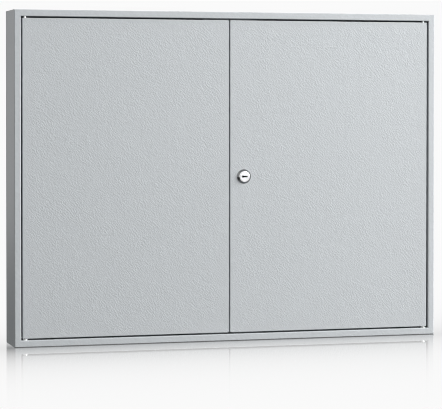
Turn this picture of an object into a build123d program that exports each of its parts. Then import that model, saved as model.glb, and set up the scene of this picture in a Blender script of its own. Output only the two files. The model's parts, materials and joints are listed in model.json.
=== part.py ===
from build123d import *

import os

# Wall-mounted key cabinet with two inset doors and a cam lock.
# Millimetres. The origin is the centre of the four wall-fixing holes, on the back face.
# +X is to the right seen from the front, +Y points into the wall, +Z is up.

# --- Cabinet body ---
WIDTH = 730.0
HEIGHT = 550.0
DEPTH = 80.0
BODY_SHEET = 1.2
FACE_WIDTH = 11.0  # visible width of the frame around the doors
RETURN_DEPTH = 14.0  # the frame's inner edge, folded back beside the doors
OUTER_FOLD = 1.5
INNER_FOLD = 0.3
MITRE_REACH = 20.0

# --- Doors ---
EDGE_GAP = 2.5
RECESS = 1.5
DOOR_SHEET = 1.0
DOOR_DEPTH = 14.0
DOOR_FOLD = 1.2
DOOR_LIP = 10.0
MEETING_GAP = 2.0
MEETING_X = -1.5  # centre of the gap between the doors
LIP_SLIT = 0.6

# --- Hinge pins ---
PIN_INSET = 5.0  # pin axis from the door's hinge edge, and from its face
PIN_RADIUS = 2.5
RUNNING = 0.05  # radial clearance of a running fit
PIN_HEAD_RADIUS = 4.5
PIN_HEAD = 2.0
PIN_ENGAGEMENT = 5.0
PIN_TAIL_DROP = 56.0
PIN_TAIL_REACH = 16.0
PIN_BEND = 5.0
PIN_TIP_CHAMFER = 0.8
COLLAR_RADIUS = 4.0
COLLAR_HEIGHT = 2.0
COLLAR_DROP = 28.0
WASHER_THICKNESS = 2.3

# --- Spring and guide of each upper pin ---
GUIDE_SHEET = 1.5
GUIDE_DROP = 47.0
GUIDE_REACH = 14.0
GUIDE_SHELF = 10.5
GUIDE_FOOT = 16.0
PIN_GUIDE_FOOT_SHEET = 1.25
SPRING_RADIUS = 3.4
SPRING_WIRE = 0.4
SPRING_TURNS = 6

# --- Sliding bolts of the left door ---
BOLT_RADIUS = 3.0
BOLT_INSET = 17.5  # bolt axis from the door's free edge
BOLT_LENGTH = 72.0
BOLT_CHAMFER = 0.8
BOLT_SETBACK = 0.5  # end of the drawn-back bolt, inside the door's edge
BOLT_HOLE_CLEARANCE = 0.3
BOLT_GUIDE_DROP = 60.0
KNOB_DROP = 40.0
KNOB_RADIUS = 4.0
KNOB_LENGTH = 11.5
KNOB_SHANK_RADIUS = 1.5
KNOB_SHANK = 2.5
KNOB_GROOVE = 0.5
KNOB_GROOVE_PLACES = (0.45, 0.65, 0.85)  # along the knob, as parts of its length
KNOB_FLAT = 1.0
KNOB_SEAT = 9.0

# --- Stiffeners behind the door faces ---
STIFFENER_SHEET = 0.8
STIFFENER_CROWN = 20.0
STIFFENER_FLANGE = 10.0
STIFFENER_DEPTH = 11.0
STIFFENER_HEIGHT = 490.0

# --- Door stops and bumpers ---
STOP_LENGTH = 90.0
STOP_SHEET = 1.2
STOP_DROP = 12.0  # below the top of the opening
STOP_FOOT = 15.0
BUMPER_RADIUS = 4.5
BUMPER_THICKNESS = 2.5
BUMPER_ROUNDING = 0.6
BUMPER_GAP = 0.3
BUMPER_X = 28.0
BUMPER_INSET = 7.0

# --- Cam lock ---
LOCK_X = 24.0
HEAD_RADIUS = 12.0
HEAD_RIM = 0.5
HEAD_FACE_RADIUS = 8.8
HEAD_PROUD = 4.5
HEAD_BEVEL = 0.25
BARREL_RADIUS = 9.0
BARREL_FLATS = 15.0
BARREL_HOLE_CLEARANCE = 0.1
PLUG_RADIUS = 6.5
PLUG_HEAD_RADIUS = 7.5
PLUG_HEAD = 1.5
PLUG_HEAD_CLEARANCE = 0.3
TAIL_SIDE = 7.0
TAIL_CLEARANCE = 0.1
KEYWAY_WIDTH = 10.0
KEYWAY_HEIGHT = 2.6
KEYWAY_END_WIDTH = 3.6
KEYWAY_END_HEIGHT = 3.4
KEYWAY_DEPTH = 13.5
WAFER_COUNT = 5
WAFER_PITCH = 2.0
WAFER_FIRST = 3.8  # centre of the first wafer behind the lock's front face
WAFER_THICKNESS = 1.0
WAFER_WIDTH = 11.2
WAFER_HEIGHT = 6.0
WAFER_CLEARANCE = 0.1
WAFER_WINDOW_WIDTH = 10.2
WAFER_WINDOW_HEIGHT = 3.8
LOCK_WASHER_RADIUS = 13.0
LOCK_WASHER = 1.0
LOCK_WASHER_TEETH = 16
LOCK_WASHER_NOTCH = 1.2
LOCK_NUT_FLATS = 24.0
LOCK_NUT = 4.0
LOCK_NUT_CHAMFER = 0.5
LOCK_NUT_CLEARANCE = 0.05
CAM_GAP = 0.8  # between the door's rear lip and the cam
CAM_THICKNESS = 2.0
CAM_HUB_RADIUS = 9.0
CAM_WIDTH = 14.0
CAM_LENGTH = 34.0
CAM_CORNER = 4.0
CAM_AXIAL_PLAY = 0.4
CAM_WASHER_RADIUS = 6.5
CAM_WASHER = 1.0
SCREW_RADIUS = 1.6
SCREW_CLEARANCE = 0.5
SCREW_HEAD_RADIUS = 3.5
SCREW_HEAD = 2.4
SCREW_HEAD_FILLET = 0.8
SCREW_LENGTH = 6.0
SCREW_SLOT = 1.0

# --- Key storage ---
WALL_HOLE_RADIUS = 4.0
WALL_HOLE_SPACING_X = 540.0
WALL_HOLE_SPACING_Z = 372.0
UPRIGHT_X = 335.0
UPRIGHT_HEIGHT = 500.0
UPRIGHT_WEB = 20.0
UPRIGHT_FLANGE = 10.0
UPRIGHT_DEPTH = 12.0
UPRIGHT_SLOT_WIDTH = 2.4
UPRIGHT_SLOT_HEIGHT = 10.0
SLOT_OFFSET = 5.0
SLOT_PITCH = 31.0
SLOT_COUNT = 15
STUD_RADIUS = 2.5
STUD_LENGTH = 8.0
STUD_OFFSET = 15.0
STUD_SPACING_Z = 420.0
STUD_HOLE_CLEARANCE = 0.25
NUT_FLATS = 8.0
NUT_THICKNESS = 4.0
ROW_COUNT = 8
ROW_PITCH = 62.0
BAR_SHEET = 1.0
BAR_HEIGHT = 28.0
BAR_LIP = 4.0
BAR_OVERHANG = 3.0
BAR_CENTRE_GAP = 3.0
TAB_WIDTH = 1.2
TAB_HEIGHT = 8.0
TAB_LENGTH = 5.0
HOOK_COUNT = 10
HOOK_PITCH = 32.0
HOOK_WIRE = 1.5
HOOK_DROP = 6.0  # below the middle of its bar
HOOK_STUB = 2.0
HOOK_REACH = 20.0
HOOK_RISE = 4.2
HOOK_TIP_REACH = 1.5
HOOK_TIP = 5.5
HOOK_BEND = 2.5
LABEL_THICKNESS = 0.6
LABEL_HEIGHT = 11.0
LABEL_BASE = 1.5  # label's lower edge above the middle of its bar
LABEL_END_GAP = 2.0

# --- Worked out from the dimensions above ---
HALF_WIDTH = WIDTH / 2
HALF_HEIGHT = HEIGHT / 2
OPENING_X = HALF_WIDTH - FACE_WIDTH
OPENING_Z = HALF_HEIGHT - FACE_WIDTH
DOOR_EDGE_X = OPENING_X - EDGE_GAP
DOOR_EDGE_Z = OPENING_Z - EDGE_GAP
LEFT_FREE_X = MEETING_X - MEETING_GAP / 2
RIGHT_FREE_X = MEETING_X + MEETING_GAP / 2
DOOR_FRONT = DEPTH - RECESS  # distances named FRONT or REAR are measured forward from the wall
DOOR_INNER = DOOR_FRONT - DOOR_SHEET
DOOR_REAR = DOOR_FRONT - DOOR_DEPTH
PIN_X = DOOR_EDGE_X - PIN_INSET
PIN_Y = -(DOOR_FRONT - PIN_INSET)
BOLT_X = LEFT_FREE_X - BOLT_INSET
BOLT_Y = -(DOOR_FRONT + DOOR_REAR) / 2
PIN_TOP = OPENING_Z + BODY_SHEET + PIN_ENGAGEMENT - PIN_TIP_CHAMFER
COLLAR_Z = DOOR_EDGE_Z - COLLAR_DROP
GUIDE_Z = DOOR_EDGE_Z - GUIDE_DROP
BOLT_GUIDE_Z = DOOR_EDGE_Z - BOLT_GUIDE_DROP
BOLT_TOP = DOOR_EDGE_Z - BOLT_SETBACK
KNOB_Z = DOOR_EDGE_Z - KNOB_DROP
STOP_FRONT = DOOR_REAR - BUMPER_GAP - BUMPER_THICKNESS
STOP_Z = OPENING_Z - STOP_DROP
LOCK_FRONT = DOOR_FRONT + HEAD_PROUD
CAM_FRONT = DOOR_REAR - CAM_GAP
CAM_REAR = CAM_FRONT - CAM_THICKNESS
BARREL_REAR = CAM_FRONT + CAM_AXIAL_PLAY
NUT_FRONT = DOOR_INNER - LOCK_WASHER
CAM_WASHER_REAR = CAM_REAR - CAM_WASHER
UPRIGHT_FRONT = BODY_SHEET + UPRIGHT_DEPTH
BAR_FRONT = UPRIGHT_FRONT + BAR_SHEET
BAR_OUTER_X = UPRIGHT_X + BAR_OVERHANG
BAR_INNER_X = BAR_CENTRE_GAP / 2
BAR_MIDDLE_X = (BAR_OUTER_X + BAR_INNER_X) / 2
NUT_REAR = 2 * BODY_SHEET
ROW_HEIGHTS = [(row - (ROW_COUNT - 1) / 2) * ROW_PITCH for row in range(ROW_COUNT)]
LOCK_AXIS = Axis((LOCK_X, 0, 0), (0, 1, 0))
LOCK_SECTION = Plane(origin=(LOCK_X, 0, 0), x_dir=(1, 0, 0), z_dir=(0, 0, 1))


def facing(distance, x=0.0, z=0.0):
    """The upright plane that many millimetres in front of the wall, looking out of the cabinet."""
    return Plane(origin=(x, -distance, z), x_dir=(1, 0, 0), z_dir=(0, -1, 0))


def save(piece, node):
    piece.part.label = node
    export_step(piece.part, f"parts/{node}.step")


os.makedirs("parts", exist_ok=True)


# ---------------------------------------------------------------- cabinet body
def frame_channel(plane, length, corners):
    """Wall, front face and return of the folded frame, cut at 45 degrees through the given corners.

    On the plane, local x runs inwards from the outer wall and local y backwards.
    """
    with BuildPart() as channel:
        with BuildSketch(plane) as section:
            with BuildLine():
                Polyline(
                    (0, 0),
                    (0, -DEPTH),
                    (FACE_WIDTH, -DEPTH),
                    (FACE_WIDTH, -DEPTH + RETURN_DEPTH),
                    (FACE_WIDTH - BODY_SHEET, -DEPTH + RETURN_DEPTH),
                    (FACE_WIDTH - BODY_SHEET, -DEPTH + BODY_SHEET),
                    (BODY_SHEET, -DEPTH + BODY_SHEET),
                    (BODY_SHEET, 0),
                    close=True,
                )
            make_face()
            by_depth = section.vertices().group_by(Axis.Y)
            fillet(by_depth[0], OUTER_FOLD)
            fillet(section.vertices().group_by(Axis.Y)[2], INNER_FOLD)
        extrude(amount=length)
        with BuildSketch(facing(0)):
            with BuildLine():
                Polyline(*corners, close=True)
            make_face()
        extrude(amount=DEPTH, both=True, mode=Mode.INTERSECT)
    return channel


left_side_panel = frame_channel(
    Plane(origin=(-HALF_WIDTH, 0, -HALF_HEIGHT), x_dir=(1, 0, 0), z_dir=(0, 0, 1)),
    HEIGHT,
    [
        (-HALF_WIDTH, -HALF_HEIGHT),
        (-HALF_WIDTH, HALF_HEIGHT),
        (-HALF_WIDTH + MITRE_REACH, HALF_HEIGHT - MITRE_REACH),
        (-HALF_WIDTH + MITRE_REACH, -HALF_HEIGHT + MITRE_REACH),
    ],
)
save(left_side_panel, "left_side_panel")

with BuildPart() as right_side_panel:
    mirror(left_side_panel.part, about=Plane.YZ)
save(right_side_panel, "right_side_panel")

bottom_channel = frame_channel(
    Plane(origin=(HALF_WIDTH, 0, -HALF_HEIGHT), x_dir=(0, 0, 1), z_dir=(-1, 0, 0)),
    WIDTH,
    [
        (-HALF_WIDTH, -HALF_HEIGHT),
        (HALF_WIDTH, -HALF_HEIGHT),
        (HALF_WIDTH - MITRE_REACH, -HALF_HEIGHT + MITRE_REACH),
        (-HALF_WIDTH + MITRE_REACH, -HALF_HEIGHT + MITRE_REACH),
    ],
)
with BuildPart() as bottom_panel:
    add(bottom_channel.part)
    with BuildSketch(Plane.XY.offset(-OPENING_Z - BODY_SHEET / 2)):
        with Locations((-PIN_X, PIN_Y), (PIN_X, PIN_Y)):
            Circle(PIN_RADIUS + RUNNING)
        with Locations((BOLT_X, BOLT_Y)):
            Circle(BOLT_RADIUS + BOLT_HOLE_CLEARANCE)
    extrude(amount=BODY_SHEET, both=True, mode=Mode.SUBTRACT)
save(bottom_panel, "bottom_panel")

with BuildPart() as top_panel:
    mirror(bottom_panel.part, about=Plane.XY)
save(top_panel, "top_panel")

with BuildPart() as back_panel:
    with BuildSketch(facing(0)):
        Rectangle(WIDTH - 2 * BODY_SHEET, HEIGHT - 2 * BODY_SHEET)
        with GridLocations(WALL_HOLE_SPACING_X, WALL_HOLE_SPACING_Z, 2, 2):
            Circle(WALL_HOLE_RADIUS, mode=Mode.SUBTRACT)
    extrude(amount=BODY_SHEET)
save(back_panel, "back_panel")


# ---------------------------------------------------------------- door stops
with BuildPart() as upper_door_stop:
    with BuildSketch(Plane.YZ.offset(-STOP_LENGTH / 2)):
        with Locations((-STOP_FRONT, STOP_Z)):
            Rectangle(STOP_SHEET, HALF_HEIGHT - BODY_SHEET - STOP_Z, align=(Align.MIN, Align.MIN))
        with Locations((-STOP_FRONT, HALF_HEIGHT - BODY_SHEET)):
            Rectangle(STOP_FOOT, STOP_SHEET, align=(Align.MIN, Align.MAX))
    extrude(amount=STOP_LENGTH)
save(upper_door_stop, "upper_door_stop")

with BuildPart() as lower_door_stop:
    mirror(upper_door_stop.part, about=Plane.XY)
save(lower_door_stop, "lower_door_stop")

with BuildPart() as door_bumpers:
    with BuildSketch(facing(STOP_FRONT)):
        with GridLocations(2 * BUMPER_X, 2 * (OPENING_Z - BUMPER_INSET), 2, 2):
            Circle(BUMPER_RADIUS)
    extrude(amount=BUMPER_THICKNESS)
    fillet(door_bumpers.faces().group_by(Axis.Y)[0].edges(), BUMPER_ROUNDING)
save(door_bumpers, "door_bumpers")


# ---------------------------------------------------------------- fixed hinge pins
with BuildPart() as lower_hinge_pins:
    with BuildSketch(Plane.XY.offset(-OPENING_Z - BODY_SHEET - PIN_HEAD)):
        with Locations((-PIN_X, PIN_Y), (PIN_X, PIN_Y)):
            Circle(PIN_HEAD_RADIUS)
    extrude(amount=PIN_HEAD)
    with BuildSketch(Plane.XY.offset(-OPENING_Z - BODY_SHEET)):
        with Locations((-PIN_X, PIN_Y), (PIN_X, PIN_Y)):
            Circle(PIN_RADIUS)
    extrude(amount=BODY_SHEET + EDGE_GAP + DOOR_SHEET + PIN_ENGAGEMENT)
    chamfer(lower_hinge_pins.faces().group_by(Axis.Z)[-1].edges(), PIN_TIP_CHAMFER)
save(lower_hinge_pins, "lower_hinge_pins")

with BuildPart() as hinge_washers:
    with BuildSketch(Plane.XY.offset(-OPENING_Z)):
        with Locations((-PIN_X, PIN_Y), (PIN_X, PIN_Y)):
            Circle(PIN_HEAD_RADIUS)
            Circle(PIN_RADIUS + RUNNING, mode=Mode.SUBTRACT)
    extrude(amount=WASHER_THICKNESS)
save(hinge_washers, "hinge_washers")


# ---------------------------------------------------------------- key storage
def upright(middle_x, slot_columns):
    """Hat-section strip on the back panel, with a column of slots for each hook bar beside it."""
    with BuildPart() as strip:
        with BuildSketch(Plane.XY.offset(-UPRIGHT_HEIGHT / 2)):
            with Locations((middle_x, -UPRIGHT_FRONT)):
                Rectangle(UPRIGHT_WEB, BODY_SHEET, align=(Align.CENTER, Align.MIN))
            for side in (-1, 1):
                with Locations((middle_x + side * (UPRIGHT_WEB - BODY_SHEET) / 2, -UPRIGHT_FRONT)):
                    Rectangle(BODY_SHEET, UPRIGHT_DEPTH, align=(Align.CENTER, Align.MIN))
                with Locations((middle_x + side * (UPRIGHT_WEB + UPRIGHT_FLANGE) / 2, -BODY_SHEET)):
                    Rectangle(UPRIGHT_FLANGE, BODY_SHEET, align=(Align.CENTER, Align.MAX))
        extrude(amount=UPRIGHT_HEIGHT)
        for column in slot_columns:
            with BuildSketch(facing(UPRIGHT_FRONT, middle_x + column)):
                with GridLocations(0, SLOT_PITCH, 1, SLOT_COUNT):
                    Rectangle(UPRIGHT_SLOT_WIDTH, UPRIGHT_SLOT_HEIGHT)
            extrude(amount=-BODY_SHEET, mode=Mode.SUBTRACT)
        with BuildSketch(facing(0, middle_x)):
            with GridLocations(2 * STUD_OFFSET, STUD_SPACING_Z, 2, 2):
                Circle(STUD_RADIUS + STUD_HOLE_CLEARANCE)
        extrude(amount=UPRIGHT_DEPTH, mode=Mode.SUBTRACT)
    return strip


left_upright = upright(-UPRIGHT_X, [SLOT_OFFSET])
save(left_upright, "left_upright")

centre_upright = upright(0, [-SLOT_OFFSET, SLOT_OFFSET])
save(centre_upright, "centre_upright")

right_upright = upright(UPRIGHT_X, [-SLOT_OFFSET])
save(right_upright, "right_upright")

with BuildPart() as upright_studs:
    for middle_x in (-UPRIGHT_X, 0, UPRIGHT_X):
        with BuildSketch(facing(BODY_SHEET, middle_x)):
            with GridLocations(2 * STUD_OFFSET, STUD_SPACING_Z, 2, 2):
                Circle(STUD_RADIUS)
        extrude(amount=STUD_LENGTH)
    chamfer(upright_studs.faces().group_by(Axis.Y)[0].edges(), PIN_TIP_CHAMFER)
save(upright_studs, "upright_studs")

with BuildPart() as upright_nuts:
    for middle_x in (-UPRIGHT_X, 0, UPRIGHT_X):
        with BuildSketch(facing(NUT_REAR, middle_x)):
            with GridLocations(2 * STUD_OFFSET, STUD_SPACING_Z, 2, 2):
                RegularPolygon(NUT_FLATS / 2, 6, major_radius=False)
                Circle(STUD_RADIUS + RUNNING, mode=Mode.SUBTRACT)
        extrude(amount=NUT_THICKNESS)
save(upright_nuts, "upright_nuts")

with BuildPart() as left_hook_bars:
    with BuildSketch(Plane.YZ.offset(-BAR_OUTER_X)):
        for height in ROW_HEIGHTS:
            with Locations((-BAR_FRONT, height)):
                Rectangle(BAR_SHEET, BAR_HEIGHT, align=(Align.MIN, Align.CENTER))
            for side in (-1, 1):
                with Locations((-UPRIGHT_FRONT, height + side * (BAR_HEIGHT - BAR_SHEET) / 2)):
                    Rectangle(BAR_LIP, BAR_SHEET, align=(Align.MAX, Align.CENTER))
    extrude(amount=BAR_OUTER_X - BAR_INNER_X)
    for tab_x in (-UPRIGHT_X + SLOT_OFFSET, -SLOT_OFFSET):
        with BuildSketch(facing(BAR_FRONT, tab_x)):
            with GridLocations(0, ROW_PITCH, 1, ROW_COUNT):
                Rectangle(TAB_WIDTH, TAB_HEIGHT)
        extrude(amount=-(BAR_SHEET + TAB_LENGTH))
save(left_hook_bars, "left_hook_bars")

with BuildPart() as right_hook_bars:
    mirror(left_hook_bars.part, about=Plane.YZ)
save(right_hook_bars, "right_hook_bars")

with BuildPart() as key_hook:
    with BuildLine(Plane.YZ) as hook_path:
        FilletPolyline(
            (-BAR_FRONT, 0),
            (-BAR_FRONT - HOOK_STUB, 0),
            (-BAR_FRONT - HOOK_STUB - HOOK_REACH, HOOK_RISE),
            (-BAR_FRONT - HOOK_STUB - HOOK_REACH - HOOK_TIP_REACH, HOOK_RISE + HOOK_TIP),
            radius=HOOK_BEND,
        )
    with BuildSketch(facing(BAR_FRONT)):
        Circle(HOOK_WIRE)
    sweep(path=hook_path.line)

with BuildPart() as left_key_hooks:
    for height in ROW_HEIGHTS:
        for column in range(HOOK_COUNT):
            hook_x = -BAR_MIDDLE_X + (column - (HOOK_COUNT - 1) / 2) * HOOK_PITCH
            with Locations((hook_x, 0, height - HOOK_DROP)):
                add(key_hook.part)
save(left_key_hooks, "left_key_hooks")

with BuildPart() as right_key_hooks:
    mirror(left_key_hooks.part, about=Plane.YZ)
save(right_key_hooks, "right_key_hooks")

with BuildPart() as left_number_strips:
    with BuildSketch(facing(BAR_FRONT, -BAR_MIDDLE_X, LABEL_BASE + LABEL_HEIGHT / 2)):
        with GridLocations(0, ROW_PITCH, 1, ROW_COUNT):
            Rectangle(BAR_OUTER_X - BAR_INNER_X - 2 * LABEL_END_GAP, LABEL_HEIGHT)
    extrude(amount=LABEL_THICKNESS)
save(left_number_strips, "left_number_strips")

with BuildPart() as right_number_strips:
    mirror(left_number_strips.part, about=Plane.YZ)
save(right_number_strips, "right_number_strips")


# ---------------------------------------------------------------- door panels
def door_pan(left_x, right_x, hinge_x):
    """Folded pan, open at the back, with a lip all round and a hole at each end for its pins."""
    middle = (left_x + right_x) / 2
    width = right_x - left_x
    height = 2 * DOOR_EDGE_Z
    with BuildPart() as pan:
        with BuildSketch(facing(DOOR_REAR, middle)):
            Rectangle(width, height)
        extrude(amount=DOOR_DEPTH)
        front_edges = pan.faces().sort_by(Axis.Y)[0].edges()
        corner_edges = pan.edges().filter_by(Axis.Y)
        fillet(front_edges + corner_edges, DOOR_FOLD)
        with BuildSketch(facing(DOOR_INNER, middle)):
            Rectangle(width - 2 * DOOR_SHEET, height - 2 * DOOR_SHEET)
        extrude(amount=-(DOOR_DEPTH - 2 * DOOR_SHEET), mode=Mode.SUBTRACT)
        with BuildSketch(facing(DOOR_REAR, middle)):
            Rectangle(width - 2 * DOOR_LIP, height - 2 * DOOR_LIP)
            for side_x in (-1, 1):
                for side_z in (-1, 1):
                    slit_x = side_x * (width - DOOR_LIP) / 2
                    slit_z = side_z * (height - DOOR_LIP) / 2
                    with Locations((slit_x, slit_z)):
                        Rectangle(DOOR_LIP, LIP_SLIT, rotation=45 * side_x * side_z)
        extrude(amount=DOOR_SHEET, mode=Mode.SUBTRACT)
        with BuildSketch(Plane.XY):
            with Locations((hinge_x, PIN_Y)):
                Circle(PIN_RADIUS + RUNNING)
        extrude(amount=HEIGHT, both=True, mode=Mode.SUBTRACT)
    return pan


def door_stiffener(middle):
    """Hat-section strip welded to the back of the door's face."""
    with BuildPart() as strip:
        with BuildSketch(Plane.XY.offset(-STIFFENER_HEIGHT / 2)):
            with Locations((middle, -DOOR_INNER + STIFFENER_DEPTH)):
                Rectangle(STIFFENER_CROWN, STIFFENER_SHEET, align=(Align.CENTER, Align.MAX))
            for side in (-1, 1):
                with Locations((middle + side * (STIFFENER_CROWN - STIFFENER_SHEET) / 2, -DOOR_INNER)):
                    Rectangle(STIFFENER_SHEET, STIFFENER_DEPTH, align=(Align.CENTER, Align.MIN))
                with Locations((middle + side * (STIFFENER_CROWN + STIFFENER_FLANGE) / 2, -DOOR_INNER)):
                    Rectangle(STIFFENER_FLANGE, STIFFENER_SHEET, align=(Align.CENTER, Align.MIN))
        extrude(amount=STIFFENER_HEIGHT)
    return strip


left_pan = door_pan(-DOOR_EDGE_X, LEFT_FREE_X, -PIN_X)
with BuildPart() as left_door_panel:
    add(left_pan.part)
    with BuildSketch(Plane.XY):
        with Locations((BOLT_X, BOLT_Y)):
            Circle(BOLT_RADIUS + RUNNING)
    extrude(amount=HEIGHT, both=True, mode=Mode.SUBTRACT)
save(left_door_panel, "left_door_panel")

right_pan = door_pan(RIGHT_FREE_X, DOOR_EDGE_X, PIN_X)
with BuildPart() as right_door_panel:
    add(right_pan.part)
    with BuildSketch(facing(DOOR_INNER, LOCK_X)):
        Circle(BARREL_RADIUS + BARREL_HOLE_CLEARANCE)
        Rectangle(WIDTH, BARREL_FLATS + 2 * BARREL_HOLE_CLEARANCE, mode=Mode.INTERSECT)
    extrude(amount=DOOR_SHEET, mode=Mode.SUBTRACT)
save(right_door_panel, "right_door_panel")

left_door_stiffener = door_stiffener((-DOOR_EDGE_X + LEFT_FREE_X) / 2)
save(left_door_stiffener, "left_door_stiffener")

right_door_stiffener = door_stiffener((DOOR_EDGE_X + RIGHT_FREE_X) / 2)
save(right_door_stiffener, "right_door_stiffener")


# ---------------------------------------------------------------- spring-loaded upper hinge pins
with BuildPart() as left_pin_guide:
    with BuildSketch(Plane.XY.offset(GUIDE_Z)):
        with Locations((-DOOR_EDGE_X + DOOR_SHEET, -DOOR_INNER)):
            Rectangle(GUIDE_REACH, GUIDE_SHELF, align=(Align.MIN, Align.MIN))
        with Locations((-PIN_X, PIN_Y)):
            Circle(PIN_RADIUS + RUNNING, mode=Mode.SUBTRACT)
    extrude(amount=-GUIDE_SHEET)
    with BuildSketch(Plane.XY.offset(GUIDE_Z - GUIDE_SHEET)):
        with Locations((-DOOR_EDGE_X + DOOR_SHEET, -DOOR_INNER)):
            Rectangle(GUIDE_REACH, PIN_GUIDE_FOOT_SHEET, align=(Align.MIN, Align.MIN))
    extrude(amount=-GUIDE_FOOT)
save(left_pin_guide, "left_pin_guide")

with BuildPart() as right_pin_guide:
    mirror(left_pin_guide.part, about=Plane.YZ)
save(right_pin_guide, "right_pin_guide")

with BuildPart() as left_upper_pin:
    with BuildLine(facing(-PIN_Y, -PIN_X)) as pin_path:
        FilletPolyline(
            (0, PIN_TOP),
            (0, DOOR_EDGE_Z - PIN_TAIL_DROP),
            (PIN_TAIL_REACH, DOOR_EDGE_Z - PIN_TAIL_DROP),
            radius=PIN_BEND,
        )
    with BuildSketch(Plane(origin=(-PIN_X, PIN_Y, PIN_TOP), z_dir=(0, 0, -1))):
        Circle(PIN_RADIUS)
    sweep(path=pin_path.line)
    chamfer(left_upper_pin.faces().sort_by(Axis.Z)[-1].edges(), PIN_TIP_CHAMFER)
    with BuildSketch(Plane.XY.offset(COLLAR_Z)):
        with Locations((-PIN_X, PIN_Y)):
            Circle(COLLAR_RADIUS)
    extrude(amount=COLLAR_HEIGHT)
save(left_upper_pin, "left_upper_pin")

with BuildPart() as right_upper_pin:
    mirror(left_upper_pin.part, about=Plane.YZ)
save(right_upper_pin, "right_upper_pin")

SPRING_BASE = GUIDE_Z + SPRING_WIRE
SPRING_HEIGHT = COLLAR_Z - GUIDE_Z - 2 * SPRING_WIRE
with BuildPart() as left_pin_spring:
    with BuildLine(Plane(origin=(-PIN_X, PIN_Y, SPRING_BASE))) as coil:
        Helix(SPRING_HEIGHT / SPRING_TURNS, SPRING_HEIGHT, SPRING_RADIUS)
    with BuildSketch(Plane(origin=coil.line @ 0, z_dir=coil.line % 0)):
        Circle(SPRING_WIRE)
    sweep(path=coil.line, is_frenet=True)
save(left_pin_spring, "left_pin_spring")

with BuildPart() as right_pin_spring:
    mirror(left_pin_spring.part, about=Plane.YZ)
save(right_pin_spring, "right_pin_spring")


# ---------------------------------------------------------------- sliding bolts of the left door
with BuildPart() as upper_bolt_guide:
    with BuildSketch(Plane.XY.offset(BOLT_GUIDE_Z)):
        with Locations((BOLT_X, -DOOR_INNER)):
            Rectangle(GUIDE_REACH, GUIDE_SHELF, align=(Align.CENTER, Align.MIN))
        with Locations((BOLT_X, BOLT_Y)):
            Circle(BOLT_RADIUS + RUNNING, mode=Mode.SUBTRACT)
    extrude(amount=-GUIDE_SHEET)
    with BuildSketch(Plane.XY.offset(BOLT_GUIDE_Z - GUIDE_SHEET)):
        with Locations((BOLT_X, -DOOR_INNER)):
            Rectangle(GUIDE_REACH, GUIDE_SHEET, align=(Align.CENTER, Align.MIN))
    extrude(amount=-GUIDE_FOOT)
save(upper_bolt_guide, "upper_bolt_guide")

with BuildPart() as lower_bolt_guide:
    mirror(upper_bolt_guide.part, about=Plane.XY)
save(lower_bolt_guide, "lower_bolt_guide")

KNOB_BASE = -BOLT_Y - BOLT_RADIUS + KNOB_FLAT
with BuildPart() as upper_bolt:
    with BuildSketch(Plane.XY.offset(BOLT_TOP)):
        with Locations((BOLT_X, BOLT_Y)):
            Circle(BOLT_RADIUS)
    extrude(amount=-BOLT_LENGTH)
    chamfer(upper_bolt.edges().filter_by(GeomType.CIRCLE), BOLT_CHAMFER)
    with BuildSketch(facing(KNOB_BASE, BOLT_X, KNOB_Z)):
        Rectangle(2 * BOLT_RADIUS, KNOB_SEAT)
    extrude(amount=-BOLT_RADIUS, mode=Mode.SUBTRACT)
    with BuildSketch(facing(KNOB_BASE, BOLT_X, KNOB_Z)):
        Circle(KNOB_SHANK_RADIUS)
    extrude(amount=KNOB_SHANK, mode=Mode.SUBTRACT)
save(upper_bolt, "upper_bolt")

with BuildPart() as lower_bolt:
    mirror(upper_bolt.part, about=Plane.XY)
save(lower_bolt, "lower_bolt")

with BuildPart() as upper_bolt_knob:
    with BuildSketch(facing(KNOB_BASE + KNOB_SHANK, BOLT_X, KNOB_Z)):
        Circle(KNOB_SHANK_RADIUS)
    extrude(amount=-KNOB_SHANK)
    with BuildSketch(facing(KNOB_BASE, BOLT_X, KNOB_Z)):
        Circle(KNOB_RADIUS)
    extrude(amount=-KNOB_LENGTH)
    fillet(upper_bolt_knob.faces().sort_by(Axis.Y)[-1].edges(), BOLT_CHAMFER)
    for groove in KNOB_GROOVE_PLACES:
        with BuildSketch(facing(KNOB_BASE - groove * KNOB_LENGTH, BOLT_X, KNOB_Z)):
            Circle(KNOB_RADIUS)
            Circle(KNOB_RADIUS - KNOB_GROOVE, mode=Mode.SUBTRACT)
        extrude(amount=KNOB_GROOVE, both=True, mode=Mode.SUBTRACT)
save(upper_bolt_knob, "upper_bolt_knob")

with BuildPart() as lower_bolt_knob:
    mirror(upper_bolt_knob.part, about=Plane.XY)
save(lower_bolt_knob, "lower_bolt_knob")


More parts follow.
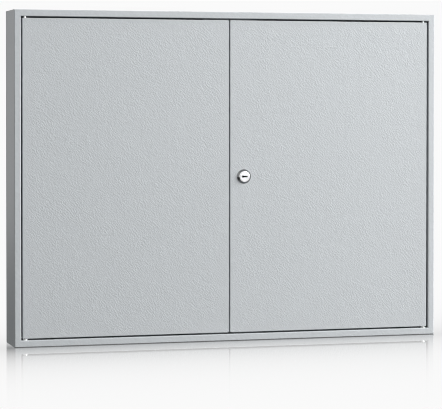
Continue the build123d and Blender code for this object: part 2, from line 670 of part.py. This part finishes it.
# ---------------------------------------------------------------- cam lock
with BuildPart() as lock_housing:
    with BuildSketch(LOCK_SECTION):
        with BuildLine():
            Polyline(
                (PLUG_HEAD_RADIUS + PLUG_HEAD_CLEARANCE, -LOCK_FRONT),
                (HEAD_FACE_RADIUS, -LOCK_FRONT),
                (HEAD_RADIUS, -DOOR_FRONT - HEAD_RIM),
                (HEAD_RADIUS, -DOOR_FRONT),
                (BARREL_RADIUS, -DOOR_FRONT),
                (BARREL_RADIUS, -BARREL_REAR),
                (PLUG_RADIUS + RUNNING, -BARREL_REAR),
                (PLUG_RADIUS + RUNNING, -LOCK_FRONT + PLUG_HEAD + PLUG_HEAD_CLEARANCE),
                (PLUG_HEAD_RADIUS + PLUG_HEAD_CLEARANCE, -LOCK_FRONT + PLUG_HEAD + PLUG_HEAD_CLEARANCE),
                close=True,
            )
        make_face()
    revolve(axis=LOCK_AXIS)
    face_edge = lock_housing.faces().sort_by(Axis.Y)[0].outer_wire().edges()
    fillet(face_edge, HEAD_BEVEL)
    for side in (-1, 1):
        with BuildSketch(facing(DOOR_FRONT, LOCK_X, side * BARREL_FLATS / 2)):
            Rectangle(2 * HEAD_RADIUS, HEAD_RADIUS, align=(Align.CENTER, Align.MIN if side > 0 else Align.MAX))
        extrude(amount=-DOOR_DEPTH - LOCK_WASHER, mode=Mode.SUBTRACT)
save(lock_housing, "lock_housing")

with BuildPart() as lock_plug:
    with BuildSketch(LOCK_SECTION):
        with BuildLine():
            Polyline(
                (0, -LOCK_FRONT),
                (PLUG_HEAD_RADIUS, -LOCK_FRONT),
                (PLUG_HEAD_RADIUS, -LOCK_FRONT + PLUG_HEAD),
                (PLUG_RADIUS, -LOCK_FRONT + PLUG_HEAD),
                (PLUG_RADIUS, -CAM_FRONT),
                (0, -CAM_FRONT),
                close=True,
            )
        make_face()
    revolve(axis=LOCK_AXIS)
    with BuildSketch(facing(CAM_FRONT, LOCK_X)):
        Rectangle(TAIL_SIDE, TAIL_SIDE)
    extrude(amount=-(CAM_THICKNESS - TAIL_CLEARANCE))
    with BuildSketch(facing(LOCK_FRONT, LOCK_X)):
        Rectangle(KEYWAY_WIDTH, KEYWAY_HEIGHT)
        with Locations((-(KEYWAY_WIDTH - KEYWAY_END_WIDTH) / 2, 0)):
            Rectangle(KEYWAY_END_WIDTH, KEYWAY_END_HEIGHT)
    extrude(amount=-KEYWAY_DEPTH, mode=Mode.SUBTRACT)
    for wafer in range(WAFER_COUNT):
        pocket_front = LOCK_FRONT - WAFER_FIRST - wafer * WAFER_PITCH + WAFER_THICKNESS / 2 + WAFER_CLEARANCE
        with BuildSketch(facing(pocket_front, LOCK_X)):
            Rectangle(2 * PLUG_RADIUS, WAFER_HEIGHT + 2 * WAFER_CLEARANCE)
        extrude(amount=-(WAFER_THICKNESS + 2 * WAFER_CLEARANCE), mode=Mode.SUBTRACT)
    with BuildSketch(facing(CAM_WASHER_REAR, LOCK_X)):
        Circle(SCREW_RADIUS + RUNNING)
    extrude(amount=SCREW_LENGTH + SCREW_CLEARANCE, mode=Mode.SUBTRACT)
save(lock_plug, "lock_plug")

with BuildPart() as lock_wafers:
    for wafer in range(WAFER_COUNT):
        wafer_front = LOCK_FRONT - WAFER_FIRST - wafer * WAFER_PITCH + WAFER_THICKNESS / 2
        with BuildSketch(facing(wafer_front, LOCK_X)):
            Rectangle(WAFER_WIDTH, WAFER_HEIGHT)
            Rectangle(WAFER_WINDOW_WIDTH, WAFER_WINDOW_HEIGHT, mode=Mode.SUBTRACT)
        extrude(amount=-WAFER_THICKNESS)
save(lock_wafers, "lock_wafers")

with BuildPart() as lock_washer:
    with BuildSketch(facing(DOOR_INNER, LOCK_X)):
        Circle(LOCK_WASHER_RADIUS)
        Circle(BARREL_RADIUS + BARREL_HOLE_CLEARANCE, mode=Mode.SUBTRACT)
        with PolarLocations(LOCK_WASHER_RADIUS, LOCK_WASHER_TEETH):
            Rectangle(2 * LOCK_WASHER_NOTCH, LOCK_WASHER_NOTCH, mode=Mode.SUBTRACT)
    extrude(amount=-LOCK_WASHER)
save(lock_washer, "lock_washer")

with BuildPart() as lock_nut:
    with BuildSketch(facing(NUT_FRONT, LOCK_X)):
        RegularPolygon(LOCK_NUT_FLATS / 2, 6, major_radius=False)
        Circle(BARREL_RADIUS + LOCK_NUT_CLEARANCE, mode=Mode.SUBTRACT)
    extrude(amount=-LOCK_NUT)
    chamfer(lock_nut.faces().sort_by(Axis.Y)[-1].outer_wire().edges(), LOCK_NUT_CHAMFER)
save(lock_nut, "lock_nut")

with BuildPart() as lock_cam:
    with BuildSketch(facing(CAM_FRONT, LOCK_X)):
        Rectangle(CAM_WIDTH, CAM_LENGTH, align=(Align.CENTER, Align.MAX))
        tip_corners = vertices().group_by(Axis.Z)[0]
        fillet(tip_corners, CAM_CORNER)
        Circle(CAM_HUB_RADIUS)
        Rectangle(TAIL_SIDE + TAIL_CLEARANCE, TAIL_SIDE + TAIL_CLEARANCE, mode=Mode.SUBTRACT)
    extrude(amount=-CAM_THICKNESS)
save(lock_cam, "lock_cam")

with BuildPart() as cam_washer:
    with BuildSketch(facing(CAM_REAR, LOCK_X)):
        Circle(CAM_WASHER_RADIUS)
        Circle(SCREW_RADIUS + SCREW_CLEARANCE, mode=Mode.SUBTRACT)
    extrude(amount=-CAM_WASHER)
save(cam_washer, "cam_washer")

with BuildPart() as cam_screw:
    with BuildSketch(facing(CAM_WASHER_REAR, LOCK_X)):
        Circle(SCREW_HEAD_RADIUS)
    extrude(amount=-SCREW_HEAD)
    fillet(cam_screw.faces().sort_by(Axis.Y)[-1].edges(), SCREW_HEAD_FILLET)
    with BuildSketch(facing(CAM_WASHER_REAR, LOCK_X)):
        Circle(SCREW_RADIUS)
    extrude(amount=SCREW_LENGTH)
    with BuildSketch(facing(CAM_WASHER_REAR - SCREW_HEAD, LOCK_X)):
        Rectangle(2 * SCREW_HEAD_RADIUS, SCREW_SLOT)
        Rectangle(SCREW_SLOT, 2 * SCREW_HEAD_RADIUS)
        Circle(SCREW_HEAD_RADIUS - SCREW_SLOT, mode=Mode.INTERSECT)
    extrude(amount=SCREW_SLOT, mode=Mode.SUBTRACT)
save(cam_screw, "cam_screw")
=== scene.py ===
"""Looks for a two-door key cabinet: paint, plated metal, lock, numbered strips, studio and camera."""
import json
import math

import bmesh
import bpy
from mathutils import Matrix, Vector


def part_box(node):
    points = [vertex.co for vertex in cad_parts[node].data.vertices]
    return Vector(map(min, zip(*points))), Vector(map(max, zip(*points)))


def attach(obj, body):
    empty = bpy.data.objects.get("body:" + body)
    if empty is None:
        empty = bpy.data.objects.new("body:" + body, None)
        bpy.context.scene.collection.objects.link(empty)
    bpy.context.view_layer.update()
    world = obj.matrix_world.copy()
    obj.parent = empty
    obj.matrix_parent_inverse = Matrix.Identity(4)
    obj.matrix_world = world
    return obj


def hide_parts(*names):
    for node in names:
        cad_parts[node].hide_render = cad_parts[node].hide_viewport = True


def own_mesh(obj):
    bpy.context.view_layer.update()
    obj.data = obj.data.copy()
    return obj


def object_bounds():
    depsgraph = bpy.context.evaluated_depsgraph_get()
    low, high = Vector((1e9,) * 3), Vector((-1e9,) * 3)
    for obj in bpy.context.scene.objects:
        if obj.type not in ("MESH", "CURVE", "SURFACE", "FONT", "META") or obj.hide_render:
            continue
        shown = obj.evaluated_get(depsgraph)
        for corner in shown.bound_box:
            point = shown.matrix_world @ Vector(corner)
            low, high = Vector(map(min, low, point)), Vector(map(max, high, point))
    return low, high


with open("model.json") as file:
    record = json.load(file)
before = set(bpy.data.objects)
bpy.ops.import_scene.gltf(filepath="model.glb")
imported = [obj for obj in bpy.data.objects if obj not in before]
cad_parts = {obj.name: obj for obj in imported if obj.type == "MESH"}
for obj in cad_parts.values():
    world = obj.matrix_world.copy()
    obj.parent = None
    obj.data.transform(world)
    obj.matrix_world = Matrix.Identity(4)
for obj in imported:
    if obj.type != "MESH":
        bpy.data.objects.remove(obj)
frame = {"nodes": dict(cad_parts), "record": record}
CAD_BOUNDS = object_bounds()
NODES = frame["nodes"]
MM = 0.001

# --- Camera: the view that shows a narrow strip of the left side ---
CAMERA_PLACE = (-0.9195, -3.2947, 0.1165)
CAMERA_AZIMUTH = math.radians(-15.69)
CAMERA_TILT = math.radians(1.19)
CAMERA_SHIFT_Y = -0.1267
LENS_MM = 162.84
SENSOR_MM = 36.0
PIXEL_FILTER = 0.9  # pixels; narrow, so that the thin door gaps stay crisp

# --- Studio: place, size in metres, watts, and whether shiny surfaces mirror the lamp ---
LIGHT_TARGET = (0, -0.04, 0)
LIGHTS = {
    # Grazes the doors, so that their grain and their right-hand folds stand out.
    "key light": ((4.2, -3.0, 2.0), 3.0, 322.0, True),
    # Almost in the plane of the doors, so that it brightens the folds and barely the doors.
    "rim light": ((4.2, -0.25, 2.6), 0.3, 100.0, True),
    "fill light": ((2.2, -4.0, 0.9), 1.5, 78.0, True),
    # The same on the other side, so that it lights the left side and barely the doors.
    "side light": ((-4.2, -0.3, 1.2), 1.0, 27.6, False),
    "back light": ((0.6, 3.4, 1.9), 1.4, 60.0, False),
}
SKY_SEEN = 0.955
SKY_DIFFUSE = 0.12
FLOOR_MARGIN = 0.0002
FLOOR_SIZE = 4.0
FLOOR_SEEN = 0.955
FLOOR_GLOW = 0.09
MIRROR_STRENGTH = 0.9
MIRROR_FADE = 0.15  # metres of floor over which the mirror image drops to a third
MIRROR_ROUGHNESS = 0.05


# ------------------------------------------------------------------ shader helpers
NOISE_RANGE = (0.3, 0.7)  # nearly all values of a noise texture lie between these


def calculate(tree, operation, *operands):
    """The result of a Math node; each operand is a number or another node's output."""
    node = tree.nodes.new("ShaderNodeMath")
    node.operation = operation
    for socket, operand in zip(node.inputs, operands):
        if isinstance(operand, bpy.types.NodeSocket):
            tree.links.new(operand, socket)
        else:
            socket.default_value = operand
    return node.outputs["Value"]


class Shader:
    """A material with a Principled shader and short ways to add and link nodes."""

    def __init__(self, name, colour, metallic, roughness):
        self.material = bpy.data.materials.new(name)
        self.material.use_nodes = True
        self.tree = self.material.node_tree
        self.surface = self.tree.nodes["Principled BSDF"]
        self.surface.inputs["Base Color"].default_value = (*colour, 1.0)
        self.surface.inputs["Metallic"].default_value = metallic
        self.surface.inputs["Roughness"].default_value = roughness
        self.place = self.add("ShaderNodeTexCoord").outputs["Object"]

    def add(self, kind, **inputs):
        node = self.tree.nodes.new(kind)
        for key, value in inputs.items():
            node.inputs[key.replace("_", " ")].default_value = value
        return node

    def link(self, source, target):
        self.tree.links.new(source, target)

    def stretched(self, stretch, rotation=(0, 0, 0)):
        """Texture coordinates drawn out along the turned axes by the given factors."""
        node = self.add("ShaderNodeMapping", Rotation=rotation, Scale=stretch)
        node.vector_type = "TEXTURE"
        self.link(self.place, node.inputs["Vector"])
        return node.outputs["Vector"]

    def noise(self, scale, detail=2.0, roughness=0.5, distortion=0.0, vector=None):
        """Noise with the given number of cells in a metre."""
        node = self.add(
            "ShaderNodeTexNoise", Scale=scale, Detail=detail, Roughness=roughness, Distortion=distortion
        )
        self.link(self.place if vector is None else vector, node.inputs["Vector"])
        return node.outputs["Fac"]

    def remap(self, value, source, target):
        """The value with the source range, a low and a high end, turned into the target range."""
        node = self.add("ShaderNodeMapRange")
        node.inputs["From Min"].default_value = source[0]
        node.inputs["From Max"].default_value = source[1]
        node.inputs["To Min"].default_value = target[0]
        node.inputs["To Max"].default_value = target[1]
        self.link(value, node.inputs["Value"])
        return node.outputs["Result"]

    def scaled(self, value, factor):
        return calculate(self.tree, "MULTIPLY", value, factor)

    def total(self, first, second):
        return calculate(self.tree, "ADD", first, second)

    def vary_colour(self, value, dark, light):
        node = self.add("ShaderNodeMix")
        node.data_type = "RGBA"
        self.link(value, node.inputs["Factor"])
        node.inputs["A"].default_value = (*dark, 1.0)
        node.inputs["B"].default_value = (*light, 1.0)
        self.link(node.outputs["Result"], self.surface.inputs["Base Color"])

    def vary_roughness(self, value, low, high):
        self.link(self.remap(value, NOISE_RANGE, (low, high)), self.surface.inputs["Roughness"])

    def bump(self, height, depth):
        node = self.add("ShaderNodeBump", Strength=1.0, Distance=depth)
        self.link(height, node.inputs["Height"])
        self.link(node.outputs["Normal"], self.surface.inputs["Normal"])


def tint(colour, factor):
    return tuple(channel * factor for channel in colour)


def by_ray(tree, kind, strength_then, strength_else):
    """A strength that depends on whether the ray is of the kind that the Light Path output names."""
    path = tree.nodes.new("ShaderNodeLightPath")
    strength = tree.nodes.new("ShaderNodeMapRange")
    tree.links.new(path.outputs[kind], strength.inputs["Value"])
    strength.inputs["To Min"].default_value = strength_else
    strength.inputs["To Max"].default_value = strength_then
    return strength.outputs["Result"]


# ------------------------------------------------------------------ materials
GRAIN_SLANT = math.radians(-42)
GRAIN_STRETCH = 2.6
PEBBLE_SHARE = 0.4
FINE_SHARE = 0.12
PATCH_RANGE = (0.35, 0.65)
PATCH_DEPTHS = (0.7, 1.1)  # factors between which the depth of the grain changes from patch to patch
PAINT_ROUGHNESS = 0.42
PAINT_SHINE = 0.2
DOOR_GRAIN_DEPTH = 0.47 * MM
CABINET_GRAIN_DEPTH = 0.2 * MM
PEEL_DEPTH = 0.06 * MM
DRAWING_DEPTH = 0.02 * MM
POLISHING_DEPTH = 0.006 * MM
# depth behind the lock's front over which the chrome turns to its painted shade
CHROME_SHADE_EDGE = 0.5 * MM
CHROME_ROUGHNESS = 0.09
WEAR_CELLS = 12.0  # grains of a moulded surface to one patch of wear


def textured_paint(name, colour, grain_depth):
    """Powder coat with a leather-like grain of short slanting ripples and dots over a fine orange peel."""
    shader = Shader(name, colour, 0.0, PAINT_ROUGHNESS)
    streaks = shader.stretched((1.0, 1.0, GRAIN_STRETCH), rotation=(0, GRAIN_SLANT, 0))
    grain = shader.noise(470.0, detail=2.0, roughness=0.55, distortion=0.7, vector=streaks)
    pebble = shader.noise(420.0, detail=1.5, distortion=0.4)
    patches = shader.noise(46.0, detail=1.0)
    fine = shader.noise(1500.0, detail=1.0)
    coarse = calculate(
        shader.tree,
        "MULTIPLY",
        shader.total(grain, shader.scaled(pebble, PEBBLE_SHARE)),
        shader.remap(patches, PATCH_RANGE, PATCH_DEPTHS),
    )
    shader.bump(shader.total(coarse, shader.scaled(fine, FINE_SHARE)), grain_depth)
    shader.vary_colour(shader.remap(grain, NOISE_RANGE, (0.0, 1.0)), tint(colour, 0.95), tint(colour, 1.04))
    shader.vary_roughness(grain, PAINT_ROUGHNESS - 0.05, PAINT_ROUGHNESS + 0.07)
    shader.surface.inputs["Specular IOR Level"].default_value = PAINT_SHINE
    return shader.material


def smooth_paint(name, colour, roughness):
    """Satin powder coat with a light orange peel."""
    shader = Shader(name, colour, 0.0, roughness)
    peel = shader.noise(520.0, distortion=0.2)
    clouds = shader.noise(14.0)
    shader.bump(peel, PEEL_DEPTH)
    shader.vary_colour(clouds, tint(colour, 0.96), tint(colour, 1.03))
    shader.vary_roughness(peel, roughness - 0.04, roughness + 0.06)
    return shader.material


def plated_metal(name, colour, roughness, drawing, spangle):
    """Plated steel: clouded plating with fine lines that are drawn out by the given stretch."""
    shader = Shader(name, colour, 1.0, roughness)
    lines = shader.noise(2600.0, detail=3.0, roughness=0.6, vector=shader.stretched(drawing))
    clouds = shader.noise(spangle, detail=3.0, roughness=0.6, distortion=0.6)
    shader.bump(lines, DRAWING_DEPTH)
    shader.vary_colour(clouds, tint(colour, 0.86), tint(colour, 1.06))
    shader.vary_roughness(clouds, roughness - 0.07, roughness + 0.12)
    return shader.material


def polished_chrome(name, painted_shade_colour):
    """Chrome plating: bright on the lock's front face, and behind it in a darker colour that is painted
    shade.
    """
    shader = Shader(name, CHROME_FACE, 1.0, CHROME_ROUGHNESS)
    marks = shader.noise(900.0, detail=4.0, roughness=0.65, distortion=1.5)
    haze = shader.noise(160.0)
    axes = shader.add("ShaderNodeSeparateXYZ")
    shader.link(shader.place, axes.inputs["Vector"])
    shader.bump(marks, POLISHING_DEPTH)
    # just behind the front face the colour turns to the painted shade
    lock_front = CAD_BOUNDS[0].y
    shade_edge = (lock_front + CHROME_SHADE_EDGE / 2, lock_front + CHROME_SHADE_EDGE)
    shader.vary_colour(shader.remap(axes.outputs["Y"], shade_edge, (0.0, 1.0)), CHROME_FACE, painted_shade_colour)
    shader.vary_roughness(haze, 0.06, 0.16)
    return shader.material


def moulded(name, colour, roughness, grain, depth):
    """Moulded rubber or plastic with a fine spark-eroded grain."""
    shader = Shader(name, colour, 0.0, roughness)
    texture = shader.noise(grain, detail=3.0, roughness=0.6, distortion=0.3)
    wear = shader.noise(grain / WEAR_CELLS)
    shader.bump(texture, depth)
    shader.vary_colour(wear, tint(colour, 0.85), tint(colour, 1.12))
    shader.vary_roughness(texture, roughness - 0.06, roughness + 0.1)
    return shader.material


GREY = (0.545, 0.572, 0.59)
PALE_GREY = (0.62, 0.645, 0.66)
ZINC = (0.70, 0.71, 0.70)
NICKEL = (0.78, 0.77, 0.74)
BARE_STEEL = (0.5, 0.5, 0.5)
BLACK = (0.022, 0.022, 0.024)
RUBBER_GREY = (0.05, 0.05, 0.052)
LABEL_WHITE = (0.80, 0.80, 0.77)
# brass darkened far below its own colour: painted shade on the wafers seen in the key slot
BRASS_PAINTED_SHADE = (0.16, 0.115, 0.05)
CHROME_FACE = (0.95, 0.95, 0.96)
# dark chrome behind the lock's front face: painted shade on the rosette's cone
CHROME_PAINTED_SHADE = (0.24, 0.245, 0.25)
# near black behind the plug's front face: painted shade in the key slot
KEY_SLOT_PAINTED_SHADE = (0.015, 0.015, 0.016)
EVEN = (1.0, 1.0, 1.0)
DRAWN_UPRIGHT = (1.0, 1.0, 20.0)
DRAWN_OUTWARD = (1.0, 20.0, 1.0)
MATERIALS = {
    "cabinet_paint": textured_paint("cabinet paint", GREY, CABINET_GRAIN_DEPTH),
    "door_paint": textured_paint("door paint", GREY, DOOR_GRAIN_DEPTH),
    "bar_paint": smooth_paint("hook bar paint", PALE_GREY, roughness=0.38),
    "zinc_steel": plated_metal("zinc plated steel", ZINC, 0.36, drawing=DRAWN_UPRIGHT, spangle=120.0),
    "hook_plating": plated_metal("nickel plated wire", NICKEL, 0.2, drawing=DRAWN_OUTWARD, spangle=200.0),
    "spring_steel": plated_metal("spring wire", BARE_STEEL, 0.28, drawing=EVEN, spangle=300.0),
    "knob_plastic": moulded("black plastic", BLACK, 0.42, grain=2200.0, depth=0.02 * MM),
    "bumper_rubber": moulded("dark rubber", RUBBER_GREY, 0.7, grain=1800.0, depth=0.04 * MM),
    "label_plastic": moulded("white label strip", LABEL_WHITE, 0.45, grain=1200.0, depth=0.01 * MM),
    "lock_chrome": polished_chrome("lock chrome", CHROME_PAINTED_SHADE),
    "wafer_brass": plated_metal("stamped brass", BRASS_PAINTED_SHADE, 0.45, drawing=EVEN, spangle=400.0),
}

# Behind its front face the plug is painted near black, painted shade in its key slot, so it isn't finished
# quite like the rest of its record slot.
NODE_MATERIALS = {
    "lock_plug": polished_chrome("plug chrome", KEY_SLOT_PAINTED_SHADE),
}


def paint_cad_nodes():
    for entry in frame["record"]["subparts"]:
        mesh = NODES[entry["node"]].data
        mesh.materials.clear()
        mesh.materials.append(NODE_MATERIALS.get(entry["node"], MATERIALS[entry["material_slot"]]))


# ------------------------------------------------------------------ pieces that the CAD leaves plain
def new_piece(name, mesh_data, slot, body):
    """A new piece with the slot's material, riding on a body."""
    piece = bpy.data.objects.new(name, mesh_data)
    bpy.context.scene.collection.objects.link(piece)
    piece.data.materials.append(MATERIALS[slot])
    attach(piece, body)
    return piece


# Coil springs round the upper hinge pins; on the real cabinet they shorten as their pins are drawn down.
SPRING_TURNS = 6
SPRING_WIRE = 0.4 * MM
SPRING_SIDES = 10
SPRING_STEPS_PER_TURN = 28


def coil_mesh(name, centre, base, top, radius):
    """A helical wire whose middle line climbs from one height to the other; its two ends are capped."""
    shape = bmesh.new()
    steps = SPRING_TURNS * SPRING_STEPS_PER_TURN
    rings = []
    for step in range(steps + 1):
        turn = step / steps
        angle = turn * SPRING_TURNS * math.tau
        outward = Vector((math.cos(angle), math.sin(angle), 0))
        middle = centre + outward * radius + Vector((0, 0, base + (top - base) * turn))
        ring = []
        for side in range(SPRING_SIDES):
            round_wire = side / SPRING_SIDES * math.tau
            offset = outward * math.cos(round_wire) + Vector((0, 0, math.sin(round_wire)))
            ring.append(shape.verts.new(middle + offset * SPRING_WIRE))
        rings.append(ring)
    for first, second in zip(rings, rings[1:]):
        for side in range(SPRING_SIDES):
            after = (side + 1) % SPRING_SIDES
            shape.faces.new((first[side], first[after], second[after], second[side]))
    shape.faces.new(reversed(rings[0]))
    shape.faces.new(rings[-1])
    bmesh.ops.recalc_face_normals(shape, faces=shape.faces)
    mesh_data = bpy.data.meshes.new(name)
    shape.to_mesh(mesh_data)
    shape.free()
    for face in mesh_data.polygons:
        face.use_smooth = True
    return mesh_data


def hinge_springs():
    """Coils in place of the plain springs, each riding on its door."""
    for side in ("left", "right"):
        low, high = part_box(f"{side}_pin_spring")
        centre = Vector(((low.x + high.x) / 2, (low.y + high.y) / 2, 0))
        radius = (high.x - low.x) / 2 - SPRING_WIRE
        name = f"{side}_coil_spring"
        mesh_data = coil_mesh(name, centre, low.z + SPRING_WIRE, high.z - SPRING_WIRE, radius)
        spring = new_piece(name, mesh_data, "spring_steel", f"{side}_door")
        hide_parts(f"{side}_pin_spring")
        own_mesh(spring)


# Plain numbers on the strips above the hooks, and thin lines between them.
HOOKS_PER_BAR = 10
BAR_COUNT = 8
HOOK_PITCH = 32 * MM
STRIP_HEIGHT = 11 * MM
NUMBER_SIZE = 8.2 * MM
INK_DEPTH = 0.06 * MM
NUMBER_SMOOTHNESS = 3
DIVIDER_WIDTH = 0.35 * MM
DIVIDER_INSET = 1.5 * MM


def add_number(target, text, x, y, z):
    """Adds the outline of a number, standing upright and facing the front, to a bmesh."""
    curve = bpy.data.curves.new("number", "FONT")
    curve.body = text
    curve.size = NUMBER_SIZE
    curve.align_x = "CENTER"
    curve.align_y = "CENTER"
    curve.extrude = INK_DEPTH / 2
    curve.resolution_u = NUMBER_SMOOTHNESS
    holder = bpy.data.objects.new("number", curve)
    bpy.context.scene.collection.objects.link(holder)
    bpy.context.view_layer.update()
    solid = bpy.data.meshes.new_from_object(holder.evaluated_get(bpy.context.evaluated_depsgraph_get()))
    solid.transform(Matrix.Translation((x, y, z)) @ Matrix.Rotation(math.pi / 2, 4, "X"))
    target.from_mesh(solid)
    bpy.data.objects.remove(holder)
    bpy.data.curves.remove(curve)
    bpy.data.meshes.remove(solid)


def number_strips():
    """Numbers the hooks of each column from top left to bottom right, with thin lines between them."""
    first_number = 1
    for side in ("left", "right"):
        low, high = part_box(f"{side}_number_strips")
        strip_pitch = (high.z - low.z - STRIP_HEIGHT) / (BAR_COUNT - 1)
        front = low.y - INK_DEPTH / 2
        ink = bmesh.new()
        for row in range(BAR_COUNT):
            middle_z = high.z - STRIP_HEIGHT / 2 - row * strip_pitch
            for column in range(HOOKS_PER_BAR):
                x = (low.x + high.x) / 2 + (column - (HOOKS_PER_BAR - 1) / 2) * HOOK_PITCH
                number = first_number + row * HOOKS_PER_BAR + column
                add_number(ink, str(number), x, front, middle_z)
            for divider in range(HOOKS_PER_BAR + 1):
                x = (low.x + high.x) / 2 + (divider - HOOKS_PER_BAR / 2) * HOOK_PITCH
                place = Matrix.Translation((x, front, middle_z))
                size = Matrix.Diagonal((DIVIDER_WIDTH, INK_DEPTH, STRIP_HEIGHT - 2 * DIVIDER_INSET, 1))
                bmesh.ops.create_cube(ink, size=1.0, matrix=place @ size)
        mesh_data = bpy.data.meshes.new(f"{side}_hook_numbers")
        ink.to_mesh(mesh_data)
        ink.free()
        new_piece(f"{side}_hook_numbers", mesh_data, "knob_plastic", "cabinet")
        first_number += HOOKS_PER_BAR * BAR_COUNT


# ------------------------------------------------------------------ studio
def area_light(name, place, size, watts, mirrored):
    """A square lamp turned towards the middle of the cabinet."""
    light = bpy.data.lights.new(name, "AREA")
    light.shape = "SQUARE"
    light.size = size
    light.energy = watts
    lamp = bpy.data.objects.new(name, light)
    bpy.context.scene.collection.objects.link(lamp)
    lamp.location = place
    lamp.visible_glossy = mirrored
    direction = Vector(LIGHT_TARGET) - lamp.location
    lamp.rotation_euler = direction.to_track_quat("-Z", "Y").to_euler()


def studio_sky():
    """White where it is seen or mirrored, and dim as a light on matt surfaces."""
    world = bpy.data.worlds.new("studio")
    world.use_nodes = True
    bpy.context.scene.world = world
    tree = world.node_tree
    background = tree.nodes["Background"]
    background.inputs["Color"].default_value = (1.0, 1.0, 1.0, 1.0)
    tree.links.new(by_ray(tree, "Is Diffuse Ray", SKY_DIFFUSE, SKY_SEEN), background.inputs["Strength"])


def floor_material(front_y):
    """White that mirrors the cabinet, less and less with the distance from the cabinet's front."""
    material = bpy.data.materials.new("glossy white floor")
    material.use_nodes = True
    tree = material.node_tree
    tree.nodes.remove(tree.nodes["Principled BSDF"])
    output = tree.nodes["Material Output"]
    white = tree.nodes.new("ShaderNodeEmission")
    tree.links.new(by_ray(tree, "Is Camera Ray", FLOOR_SEEN, FLOOR_GLOW), white.inputs["Strength"])
    mirror = tree.nodes.new("ShaderNodeBsdfGlossy")
    mirror.inputs["Roughness"].default_value = MIRROR_ROUGHNESS
    mix = tree.nodes.new("ShaderNodeMixShader")
    place = tree.nodes.new("ShaderNodeTexCoord")
    axes = tree.nodes.new("ShaderNodeSeparateXYZ")
    tree.links.new(place.outputs["Object"], axes.inputs["Vector"])
    distance = calculate(tree, "ABSOLUTE", calculate(tree, "SUBTRACT", axes.outputs["Y"], front_y))
    fade = calculate(tree, "POWER", math.e, calculate(tree, "MULTIPLY", distance, -1 / MIRROR_FADE))
    seen = by_ray(tree, "Is Camera Ray", MIRROR_STRENGTH, 0.0)
    tree.links.new(calculate(tree, "MULTIPLY", fade, seen), mix.inputs["Fac"])
    tree.links.new(white.outputs["Emission"], mix.inputs[1])
    tree.links.new(mirror.outputs["BSDF"], mix.inputs[2])
    tree.links.new(mix.outputs["Shader"], output.inputs["Surface"])
    return material


def studio_floor():
    """A wide floor just below the cabinet."""
    low = CAD_BOUNDS[0]
    bpy.ops.mesh.primitive_plane_add(size=FLOOR_SIZE, location=(0, 0, low.z - FLOOR_MARGIN))
    floor = bpy.context.object
    floor.name = "studio_floor"
    floor.data.materials.append(floor_material(low.y))


def photo_camera():
    camera_data = bpy.data.cameras.new("camera")
    camera_data.lens = LENS_MM
    camera_data.sensor_width = SENSOR_MM
    camera_data.shift_y = CAMERA_SHIFT_Y
    camera = bpy.data.objects.new("camera", camera_data)
    bpy.context.scene.collection.objects.link(camera)
    camera.location = CAMERA_PLACE
    camera.rotation_euler = (math.pi / 2 - CAMERA_TILT, 0, CAMERA_AZIMUTH)
    bpy.context.scene.camera = camera


paint_cad_nodes()
hinge_springs()
number_strips()
for light_name, (place, size, watts, mirrored) in LIGHTS.items():
    area_light(light_name, place, size, watts, mirrored)
studio_sky()
studio_floor()
photo_camera()
bpy.context.scene.view_settings.view_transform = "Standard"
bpy.context.scene.cycles.filter_width = PIXEL_FILTER
